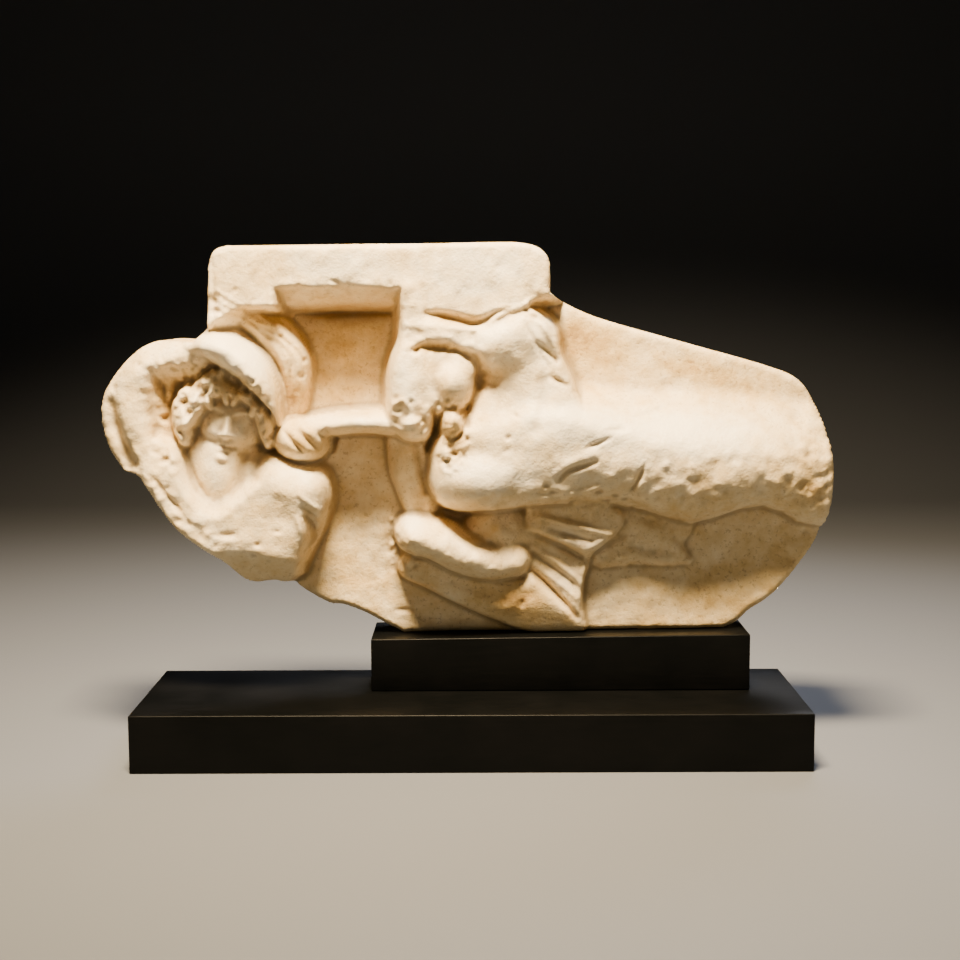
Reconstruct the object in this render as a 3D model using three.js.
// Fragment of a marble relief, a young figure and a sea horse under a plain border, standing on
// its foot on a two-tier lacquered base. Millimetres, +X right, +Y back, +Z up; the origin is on
// the floor under the middle of the whole thing.
import * as THREE from 'three';

// ---- driving dimensions -------------------------------------------------------------------
const PLINTH = { width: 600, depth: 175, height: 52, x: 2 };
const BLOCK = { left: -91, right: 259, front: -1.5, depth: 81, leftTop: 101, rightTop: 104.5 };
const JOINT_GAP = 0.3;          // hairline between pieces that stand on each other
const GROUND_Y = 26;            // plane of the relief's background
const BACK_Y = 75;              // rough back of the slab
const BORDER = 52;              // how far the border stands in front of the background
const EDGE_ROUND = 6;           // worn rounding of the front edge all the way round
const BACK_ROUND = 5;           // the same at the back
const FIELD = { left: -352, low: 80, width: 704, height: 400 };    // the lattice covers this
const FRONT_CELL = 5;           // finest spacing of the carved surface
const FRONT_LEVELS = 3;         // each level doubles the spacing where the surface is calm
const FRONT_BEND = 5;         // how far a coarse cell may stand off the true surface
const BACK_CELL = 10;
const BACK_LEVELS = 2;
const BACK_BEND = 2;

const blockTop = (x) => BLOCK.leftTop
  + ((BLOCK.rightTop - BLOCK.leftTop) * (x - BLOCK.left)) / (BLOCK.right - BLOCK.left);
const footZ = (x) => blockTop(x) + JOINT_GAP;
const FOOT = { left: -62, right: 238 };

// ---- outline of the fragment: smooth runs that meet at corners ----------------------------
const OUTLINE_RUNS = [
  [[-231, 388], [-230, 425], [-227, 451], [-213, 460], [-60, 461.5], [45, 462.5], [66, 457], [73, 442], [73, 418]],
  [[73, 418], [86, 410], [120, 395], [193, 374], [274, 351], [303, 338], [319, 315], [329, 280], [332, 248],
    [330, 212], [322, 186], [300, 155], [281, 135], [262, 122], [250, 111], [FOOT.right, footZ(FOOT.right)]],
  [[FOOT.right, footZ(FOOT.right)], [FOOT.left, footZ(FOOT.left)]],
  [[FOOT.left, footZ(FOOT.left)], [-76, 109], [-98, 121], [-116, 128], [-131, 130], [-153, 142], [-173, 157],
    [-201, 158], [-224, 178], [-263, 208], [-289, 245], [-298, 256], [-313, 261], [-326, 281], [-332, 306],
    [-327, 332], [-305, 361], [-280, 376], [-244, 375]],
  [[-244, 375], [-231, 388]],
];

// ---- small mathematics --------------------------------------------------------------------
const clamp = (v, low, high) => Math.min(Math.max(v, low), high);

function ease(a, b, v) {
  const t = clamp((v - a) / (b - a), 0, 1);
  return t * t * (3 - 2 * t);
}

function lookUp(v, xs, ys) {
  if (v <= xs[0]) return ys[0];
  for (let i = 1; i < xs.length; i += 1) {
    if (v <= xs[i]) return ys[i - 1] + ((ys[i] - ys[i - 1]) * (v - xs[i - 1])) / (xs[i] - xs[i - 1]);
  }
  return ys[ys.length - 1];
}

// the higher of two heights, with a fillet where they are nearly equal
const merge = (a, b, fillet) => Math.max(a, b) + Math.max(fillet - Math.abs(a - b), 0) ** 2 / (4 * fillet);

// Catmull-Rom curve through rows of numbers
function curve(rows, steps, closed = false) {
  const n = rows.length;
  const at = (i) => {
    if (closed) return rows[(i + n) % n];
    if (i < 0) return rows[0].map((v, c) => 2 * v - rows[1][c]);
    if (i >= n) return rows[n - 1].map((v, c) => 2 * v - rows[n - 2][c]);
    return rows[i];
  };
  const out = [];
  const spans = closed ? n : n - 1;
  for (let i = 0; i < spans; i += 1) {
    const [a, b, c, d] = [at(i - 1), at(i), at(i + 1), at(i + 2)];
    for (let s = 0; s < steps; s += 1) {
      const t = s / steps;
      out.push(b.map((v, k) => 0.5 * (2 * v + (c[k] - a[k]) * t + (2 * a[k] - 5 * v + 4 * c[k] - d[k]) * t * t
        + (3 * v - a[k] - 3 * c[k] + d[k]) * t ** 3)));
    }
  }
  if (!closed) out.push(rows[n - 1]);
  return out;
}

// distance from a point to a line of rows, and the rows' other columns at the nearest place
function nearest(line, x, z) {
  let best = { distance: Infinity };
  for (let i = 0; i + 1 < line.length; i += 1) {
    const [p, q] = [line[i], line[i + 1]];
    const [dx, dz] = [q[0] - p[0], q[1] - p[1]];
    const t = clamp(((x - p[0]) * dx + (z - p[1]) * dz) / (dx * dx + dz * dz || 1), 0, 1);
    const distance = Math.hypot(x - p[0] - t * dx, z - p[1] - t * dz);
    if (distance < best.distance) best = { distance, i, t };
  }
  const { i, t } = best;
  best.row = line[i].map((v, c) => v + t * (line[i + 1][c] - v));
  return best;
}

function isInside(ring, x, z) {
  let inside = false;
  for (let i = 0, j = ring.length - 1; i < ring.length; j = i, i += 1) {
    const [ax, az] = ring[i];
    const [bx, bz] = ring[j];
    if ((az > z) !== (bz > z) && x < ((bx - ax) * (z - az)) / (bz - az) + ax) inside = !inside;
  }
  return inside;
}

function signedDistance(ring, x, z) {
  const { distance } = nearest([...ring, ring[0]], x, z);
  return isInside(ring, x, z) ? distance : -distance;
}

// ---- the chisel: each form takes the height so far and returns the new one ------------------
function around(rows, margin, form) {
  const xs = rows.map((r) => r[0]);
  const zs = rows.map((r) => r[1]);
  const [left, right] = [Math.min(...xs) - margin, Math.max(...xs) + margin];
  const [low, high] = [Math.min(...zs) - margin, Math.max(...zs) + margin];
  return (x, z, h) => (x < left || x > right || z < low || z > high ? h : form(x, z, h));
}

// raised roll along a curve; rows are x, z, half width, height
function roll(rows, fillet = 3, power = 2.4) {
  const line = curve(rows, 6);
  return around(rows, Math.max(...rows.map((r) => r[2])) + 2, (x, z, h) => {
    const { distance, row } = nearest(line, x, z);
    const u = distance / row[2];
    const top = u < 1 ? row[3] * Math.sqrt(1 - u ** power) : 4 * (row[2] - distance);
    return merge(h, top, fillet);
  });
}

// soft strip added to the surface, or cut from it where the height is negative
function strip(rows) {
  const line = curve(rows, 6);
  return around(rows, Math.max(...rows.map((r) => r[2])) + 1, (x, z, h) => {
    const { distance, row } = nearest(line, x, z);
    return h + row[3] * (1 - clamp(distance / row[2], 0, 1) ** 2) ** 2;
  });
}

// flat-topped form with rolled edges inside a closed outline
function slab(rows, top, edge, fillet = 2, steps = 3) {
  const ring = curve(rows, steps, true);
  return around(rows, 12, (x, z, h) => {
    const s = signedDistance(ring, x, z);
    const e = clamp(1 - s / edge, 0, 1);
    const rise = Math.min(edge, top);
    return merge(h, s > 0 ? top - rise * (1 - Math.sqrt(1 - e * e)) : top - rise + 5 * s, fillet);
  });
}

// rounded mass on an ellipse with half axes a and b, turned in degrees
function mound(x0, z0, a, b, turn, top, fillet = 4, power = 2.6) {
  const [c, s] = [Math.cos((turn * Math.PI) / 180), Math.sin((turn * Math.PI) / 180)];
  return (x, z, h) => {
    const r = Math.hypot(((x - x0) * c + (z - z0) * s) / a, ((z - z0) * c - (x - x0) * s) / b);
    if (r > 1.1) return h;
    return merge(h, r < 1 ? top * Math.sqrt(1 - r ** power) : -60 * (r - 1), fillet);
  };
}

// soft round hollow
function hollow(x0, z0, a, b, depth) {
  return (x, z, h) => h - depth * (1 - clamp(((x - x0) / a) ** 2 + ((z - z0) / b) ** 2, 0, 1)) ** 2;
}

// ---- the carving, from the ground up --------------------------------------------------------
const ground = (x, z) => 8 * ease(60, 95, x) * ease(280, 340, z);

function border() {
  return [
    // sloping underside of the top border and the left post beside the sunk panel
    (x, z, h) => {
      if (x > -40) return h;
      const under = x < -50 ? lookUp(z, [399, 403, 408, 424], [0, 4, 26, BORDER]) : 0;
      const post = lookUp(x, [-171, -168, -165, -163], [BORDER, 40, 10, 0]) * ease(394, 406, z);
      return Math.max(h, under, post);
    },
    slab([[-59, 490], [110, 490], [110, 420], [76, 416], [58, 410], [40, 398], [10, 385], [-30, 380], [-57, 385],
      [-59, 420]], BORDER, 5, 1, 1),
  ];
}

function youth() {
  return [
    slab([[-350, 150], [-350, 395], [-235, 395], [-200, 380], [-178, 360], [-169, 330], [-171, 300], [-184, 276],
      [-186, 262], [-180, 240], [-180, 150]], 24, 6),
    // chest and the shoulder on the right
    slab([[-350, 262], [-300, 266], [-284, 292], [-264, 288], [-254, 260], [-242, 240], [-226, 226], [-209, 234],
      [-196, 256], [-181, 273], [-157, 263], [-139, 256], [-130, 245], [-130, 222], [-136, 204], [-148, 184],
      [-158, 166], [-166, 148], [-215, 140], [-350, 150]], 54, 26, 5),
    // raised arm bent back over the head, with the broken edge of the cloth outside it
    roll([[-290, 262, 20, 40], [-304, 290, 17, 43], [-304, 325, 17, 45], [-288, 350, 17, 47], [-262, 364, 15, 48],
      [-238, 366, 14, 50]], 4),
    roll([[-316, 262, 7, 22], [-326, 285, 8, 24], [-328, 312, 8, 26], [-322, 335, 7, 28]], 1.5),
    strip([[-286, 350, 4, -5], [-283, 335, 6, -8], [-277, 318, 6, -8], [-266, 303, 4, -7]]),
    // neck
    roll([[-222, 275, 24, 42], [-226, 250, 20, 41], [-229, 230, 16, 42]], 6, 3),
  ];
}

function veil() {
  return [
    roll([[-235, 398, 8, 30], [-205, 396, 12, 32], [-180, 389, 15, 31], [-162, 374, 16, 28], [-155, 355, 14, 25],
      [-157, 335, 12, 23], [-160, 315, 11, 22], [-162, 300, 10, 21]], 3, 4),
    roll([[-240, 362, 14, 52], [-220, 366, 16, 60], [-198, 358, 19, 63], [-184, 343, 17, 62], [-176, 324, 11, 56],
      [-171, 306, 5, 44]], 2),
  ];
}

function youthHead() {
  return [
    mound(-216, 296, 34, 46, -10, 58, 3),
  ];
}

function drapery() {
  return [
    slab([[112, 210], [125, 224], [200, 212], [205, 195], [199, 171], [150, 167], [114, 167]], 22, 6),
    slab([[52, 205], [60, 228], [128, 226], [140, 205], [112, 176], [108, 164], [104, 148], [103, 125], [108, 105],
      [98, 100], [56, 158]], 30, 5),
    roll([[66, 214, 3, 34], [85, 208, 6, 39], [104, 204, 7, 39], [132, 198, 5, 34]], 2),
    strip([[58, 200, 4, -5], [75, 193, 6, -9], [90, 184, 6, -9], [106, 174, 5, -7]]),
    strip([[56, 163, 4, -6], [76, 143, 6, -10], [100, 118, 6, -8]]),
  ];
}

// the tail and belly: one long roll whose middle, top and lower edge follow x
function belly(x, z, h) {
  if (x < -34) return h;
  const middle = lookUp(x, [-30, 60, 150, 250, 335], [250, 262, 266, 264, 262]);
  const up = lookUp(x, [-30, 60, 120, 200, 300, 335], [120, 100, 84, 84, 78, 70]);
  const low = lookUp(x, [-30, 0, 50, 100, 150, 185, 205, 225, 250, 272, 290, 303, 335],
    [26, 29, 36, 42, 48, 58, 60, 54, 46, 42, 48, 56, 58]);
  const top = lookUp(x, [-36, -20, 20, 100, 200, 280, 310, 335], [0, 52, 58, 58, 56, 50, 42, 34]);
  const v = z > middle ? (z - middle) / up : (middle - z) / low;
  if (v > 1.2) return h;
  const profile = z > middle ? 0.5 + 0.5 * Math.cos(Math.PI * Math.min(v, 1)) : Math.sqrt(1 - Math.min(v, 1) ** 2.8);
  return merge(h, v < 1 ? top * profile : 10 * (1 - v), 3);
}

function beast() {
  return [
    belly,
    // chest, neck and crest as one mass, then the breast in front of it
    slab([[-34, 262], [-29, 286], [-6, 302], [0, 320], [4, 350], [0, 392], [24, 402], [56, 408], [73, 400], [81, 374],
      [82, 358], [95, 334], [125, 300], [120, 236], [60, 224], [0, 221], [-28, 230]], 57, 26, 12),
    mound(8, 251, 45, 31, 4, 66, 8),
    roll([[60, 405, 14, 58], [66, 384, 15, 60], [72, 362, 12, 56], [84, 343, 9, 50]], 6),
    // hollow between jaw and neck
    hollow(20, 340, 16, 15, 8),
  ];
}

function forelegs() {
  return [
    mound(32, 194, 27, 36, 0, 50, 5, 3),
    roll([[-48, 195, 20, 58], [-20, 186, 19, 56], [12, 175, 21, 52], [36, 175, 20, 48]], 4),
    slab([[-62, 172], [-45, 176], [-15, 158], [15, 150], [48, 150], [55, 162], [98, 118], [100, 98], [62, 102],
      [20, 117], [-10, 131], [-40, 147], [-60, 156]], 25, 9),
    roll([[-56, 286, 20, 26], [-55, 262, 20, 24], [-50, 240, 17, 22], [-44, 222, 16, 22]], 4, 3),
    roll([[-146, 296, 11, 44], [-120, 302, 11, 45], [-95, 304, 11, 44], [-66, 302, 13, 42]]),
    mound(-153, 285, 26, 20, -8, 52, 3),
    strip([[-150, 302, 3, -4], [-140, 294, 4, -7], [-131, 281, 3, -6]]),
    strip([[-162, 294, 3, -3], [-150, 286, 4, -6], [-139, 273, 3, -5]]),
  ];
}

function beastHead() {
  return [
    slab([[-59, 440], [-59, 396], [-61, 378], [-66, 358], [-70, 340], [-72, 322], [-74, 306], [-62, 291], [-50, 286],
      [-36, 292], [-30, 306], [-18, 314], [-2, 320], [8, 345], [12, 375], [0, 392], [-30, 398], [-38, 420]], 54, 9),
    mound(-19, 340, 24, 30, 0, 67, 3, 3),
    roll([[-50, 374, 9, 58], [-30, 383, 13, 61], [0, 382, 15, 62], [24, 376, 18, 61]], 5),
    roll([[-56, 372, 8, 57], [-58, 350, 11, 59], [-56, 330, 13, 61], [-52, 312, 17, 62], [-49, 303, 15, 60]], 5),
    strip([[-47, 368, 4, -8], [-31, 365, 5, -7], [-18, 370, 5, -8], [-4, 364, 6, -14], [6, 350, 6, -18],
      [5, 332, 6, -20], [-3, 318, 5, -16]]),
    // beard
    mound(-13, 306, 12, 16, 10, 58, 2),
    mound(-17, 280, 10, 12, -20, 56, 2),
    strip([[-30, 316, 5, -20], [-29, 300, 7, -34], [-27, 286, 7, -30], [-35, 276, 6, -16]]),
    // drilled groove under the border
    strip([[-40, 401, 3, -4], [-31, 398, 5, -8], [-11, 396, 6, -10], [5, 392, 6, -10], [17, 398, 5, -8],
      [33, 402, 4, -5]]),
  ];
}

const FORMS = [...border(), ...youth(), ...veil(), ...youthHead(), ...drapery(), ...beast(), ...forelegs(),
  ...beastHead()];

const OUTLINE = OUTLINE_RUNS.flatMap((run) => curve(run, 5).slice(0, -1));
const RIM = [...OUTLINE, OUTLINE[0]];

// height of the carving in front of the background; near the foot it falls back to the ground
function carved(x, z) {
  const raw = FORMS.reduce((h, form) => form(x, z, h), ground(x, z));
  const limit = lookUp(z, [101, 118, 160, 200], [7, 15, 40, 90]);
  return -merge(-raw, -limit, 4);
}

// how far an edge of this radius has turned away at a distance inside the outline
const turned = (radius, inside) => radius * (1 - Math.sqrt(1 - clamp(1 - inside / radius, 0, 1) ** 2));

// slow undulation left by the point chisel on the back
function roughBack(x, z) {
  return 2.2 * Math.sin(x / 31 + Math.cos(z / 37)) + 1.8 * Math.cos(z / 23 + Math.sin(x / 41));
}

// ---- a face of the slab: a lattice whose cells are halved where the surface bends --------------
// Points round the rim of the kept cells move onto the true outline. Each cell is a plain quad, or
// a fan round its middle where a neighbour is finer, so no edge is left open.
function sheet(cell, levels, depthAt, allowed) {
  const block = 2 ** levels;
  const wide = block * Math.ceil(FIELD.width / (cell * block));
  const high = block * Math.ceil(FIELD.height / (cell * block));
  const node = (i, j) => j * (wide + 1) + i;
  const nodes = [];
  for (let j = 0; j <= high; j += 1) {
    for (let i = 0; i <= wide; i += 1) {
      const [x, z] = [FIELD.left + i * cell, FIELD.low + j * cell];
      const inside = signedDistance(OUTLINE, x, z);
      nodes.push({ x, z, inside, y: depthAt(x, z, inside) });
    }
  }

  const kept = new Set();
  for (let j = 0; j < high; j += 1) {
    for (let i = 0; i < wide; i += 1) {
      const corners = [node(i, j), node(i + 1, j), node(i, j + 1), node(i + 1, j + 1)];
      if (corners.every((n) => nodes[n].inside > -0.5 * cell)) kept.add(node(i, j));
    }
  }
  for (let j = 1; j < high; j += 1) {
    for (let i = 1; i < wide; i += 1) {
      const round = [node(i, j), node(i - 1, j), node(i, j - 1), node(i - 1, j - 1)].filter((n) => kept.has(n));
      if (round.length > 0 && round.length < 4) {
        const p = nodes[node(i, j)];
        const foot = nearest(RIM, p.x, p.z);
        [p.x, p.z] = foot.row;
        p.along = foot.i + foot.t;
        p.y = depthAt(p.x, p.z, 0);
      }
    }
  }

  // maps[level - 1] is true where a cell of that level has to be halved
  const maps = [];
  const bends = (i0, j0, size) => {
    const corner = (a, b) => nodes[node(i0 + a * size, j0 + b * size)].y;
    for (let b = 0; b <= size; b += 1) {
      for (let a = 0; a <= size; a += 1) {
        const p = nodes[node(i0 + a, j0 + b)];
        if (p.along !== undefined || (a < size && b < size && !kept.has(node(i0 + a, j0 + b)))) return true;
        const [u, v] = [a / size, b / size];
        const flat = (1 - v) * ((1 - u) * corner(0, 0) + u * corner(1, 0))
          + v * ((1 - u) * corner(0, 1) + u * corner(1, 1));
        if (Math.abs(p.y - flat) > allowed) return true;
      }
    }
    return false;
  };
  const besideHalved = (below, w, h, i, j) => {
    for (let b = -1; b <= 2; b += 1) {
      for (let a = -1; a <= 2; a += 1) {
        const [p, q] = [i * 2 + a, j * 2 + b];
        const diagonal = (a === -1 || a === 2) && (b === -1 || b === 2);
        if (!diagonal && p >= 0 && q >= 0 && p < w * 2 && q < h * 2 && below[q * w * 2 + p]) return true;
      }
    }
    return false;
  };
  for (let level = 1; level <= levels; level += 1) {
    const size = 2 ** level;
    const [w, h] = [wide / size, high / size];
    const below = maps[level - 2];
    maps.push(Array.from({ length: w * h }, (_, k) => {
      const [i, j] = [k % w, Math.floor(k / w)];
      return (below && besideHalved(below, w, h, i, j)) || bends(i * size, j * size, size);
    }));
  }

  const cells = [];
  const visit = (level, i, j) => {
    const size = 2 ** level;
    if (level > 0 && maps[level - 1][(j / size) * (wide / size) + i / size]) {
      const half = size / 2;
      [[0, 0], [half, 0], [0, half], [half, half]].forEach(([a, b]) => visit(level - 1, i + a, j + b));
    } else if (kept.has(node(i, j))) {
      cells.push([i, j, size]);
    }
  };
  for (let j = 0; j < high; j += block) {
    for (let i = 0; i < wide; i += block) visit(levels, i, j);
  }

  const used = new Set(cells.flatMap(([i, j, s]) => [node(i, j), node(i + s, j), node(i, j + s), node(i + s, j + s)]));
  const faces = [];
  cells.forEach(([i, j, s]) => {
    const corners = [[i, j], [i + s, j], [i + s, j + s], [i, j + s]];
    const ring = corners.flatMap(([a, b], k) => {
      const [c, d] = corners[(k + 1) % 4];
      const middle = node((a + c) / 2, (b + d) / 2);
      return s > 1 && used.has(middle) ? [node(a, b), middle] : [node(a, b)];
    });
    if (ring.length === 4) {
      faces.push([ring[0], ring[1], ring[2]], [ring[0], ring[2], ring[3]]);
    } else {
      ring.forEach((n, k) => faces.push([node(i + s / 2, j + s / 2), n, ring[(k + 1) % ring.length]]));
    }
  });
  return { nodes, faces };
}

// the open edge of a sheet as one ring of points, in the outline's own direction
function ringOf({ faces }) {
  const next = new Map();
  const edges = new Set(faces.flatMap((f) => f.map((n, k) => `${n},${f[(k + 1) % 3]}`)));
  faces.forEach((f) => f.forEach((n, k) => {
    const m = f[(k + 1) % 3];
    if (!edges.has(`${m},${n}`)) next.set(n, m);
  }));
  const ring = [[...next.keys()][0]];
  while (next.get(ring[ring.length - 1]) !== ring[0]) ring.push(next.get(ring[ring.length - 1]));
  return ring.reverse();
}

// walks round both rings at once and fills the wall between them with triangles
function wall(front, back) {
  const fromStart = ({ ring, nodes }) => {
    const first = ring.reduce((best, n, k) => (nodes[n].along < nodes[ring[best]].along ? k : best), 0);
    return [...ring.slice(first), ...ring.slice(0, first)];
  };
  const [a, b] = [fromStart(front), fromStart(back)];
  const reached = (ring, nodes, k) => (k < ring.length ? nodes[ring[k]].along : RIM.length);
  const out = [];
  let [i, j] = [0, 0];
  while (i < a.length || j < b.length) {
    const [f, r] = [front.id(a[i % a.length]), back.id(b[j % b.length])];
    const frontIsNext = j === b.length
      || (i < a.length && reached(a, front.nodes, i + 1) <= reached(b, back.nodes, j + 1));
    if (frontIsNext) {
      i += 1;
      out.push([f, front.id(a[i % a.length]), r]);
    } else {
      j += 1;
      out.push([f, back.id(b[j % b.length]), r]);
    }
  }
  return out;
}

function reliefGeometry() {
  const positions = [];
  const numbered = (part) => {
    const ids = new Map();
    const id = (n) => {
      if (!ids.has(n)) {
        ids.set(n, positions.length / 3);
        positions.push(part.nodes[n].x, part.nodes[n].y, part.nodes[n].z);
      }
      return ids.get(n);
    };
    return { ...part, id, ring: ringOf(part) };
  };
  const front = numbered(sheet(FRONT_CELL, FRONT_LEVELS,
    (x, z, inside) => GROUND_Y - carved(x, z) + turned(EDGE_ROUND, inside), FRONT_BEND));
  const back = numbered(sheet(BACK_CELL, BACK_LEVELS,
    (x, z, inside) => BACK_Y + roughBack(x, z) - turned(BACK_ROUND, inside), BACK_BEND));
  const index = [
    ...front.faces.map((f) => f.map(front.id)),
    ...back.faces.map((f) => [f[0], f[2], f[1]].map(back.id)),
    ...wall(front, back),
  ];
  const geometry = new THREE.BufferGeometry();
  geometry.setAttribute('position', new THREE.Float32BufferAttribute(positions, 3));
  geometry.setIndex(index.flat());
  geometry.computeVertexNormals();
  return geometry;
}

// ---- base: a long plinth and a shorter block whose top follows the marble's foot ---------------
function blockGeometry() {
  const low = PLINTH.height + JOINT_GAP;
  const face = new THREE.Shape([
    new THREE.Vector2(BLOCK.left, low), new THREE.Vector2(BLOCK.right, low),
    new THREE.Vector2(BLOCK.right, BLOCK.rightTop), new THREE.Vector2(BLOCK.left, BLOCK.leftTop),
  ]);
  const geometry = new THREE.ExtrudeGeometry(face, { depth: BLOCK.depth, bevelEnabled: false });
  geometry.rotateX(Math.PI / 2);
  geometry.translate(0, BLOCK.front + BLOCK.depth, 0);
  return geometry;
}

const marble = new THREE.MeshStandardMaterial({ color: 0xe8dac0, roughness: 0.72, metalness: 0 });
const upperLacquer = new THREE.MeshStandardMaterial({ color: 0x15130f, roughness: 0.38, metalness: 0 });
const lowerLacquer = new THREE.MeshStandardMaterial({ color: 0x15130f, roughness: 0.38, metalness: 0 });

function named(name, geometry, material) {
  const mesh = new THREE.Mesh(geometry, material);
  mesh.name = name;
  return mesh;
}

const relief = named('marble_relief', reliefGeometry(), marble);
const block = named('upper_block', blockGeometry(), upperLacquer);
const plinth = named('base_plinth', new THREE.BoxGeometry(PLINTH.width, PLINTH.depth, PLINTH.height), lowerLacquer);
plinth.position.set(PLINTH.x, 0, PLINTH.height / 2);

const plaque = new THREE.Group();
plaque.add(relief, block, plinth);

export default plaque;
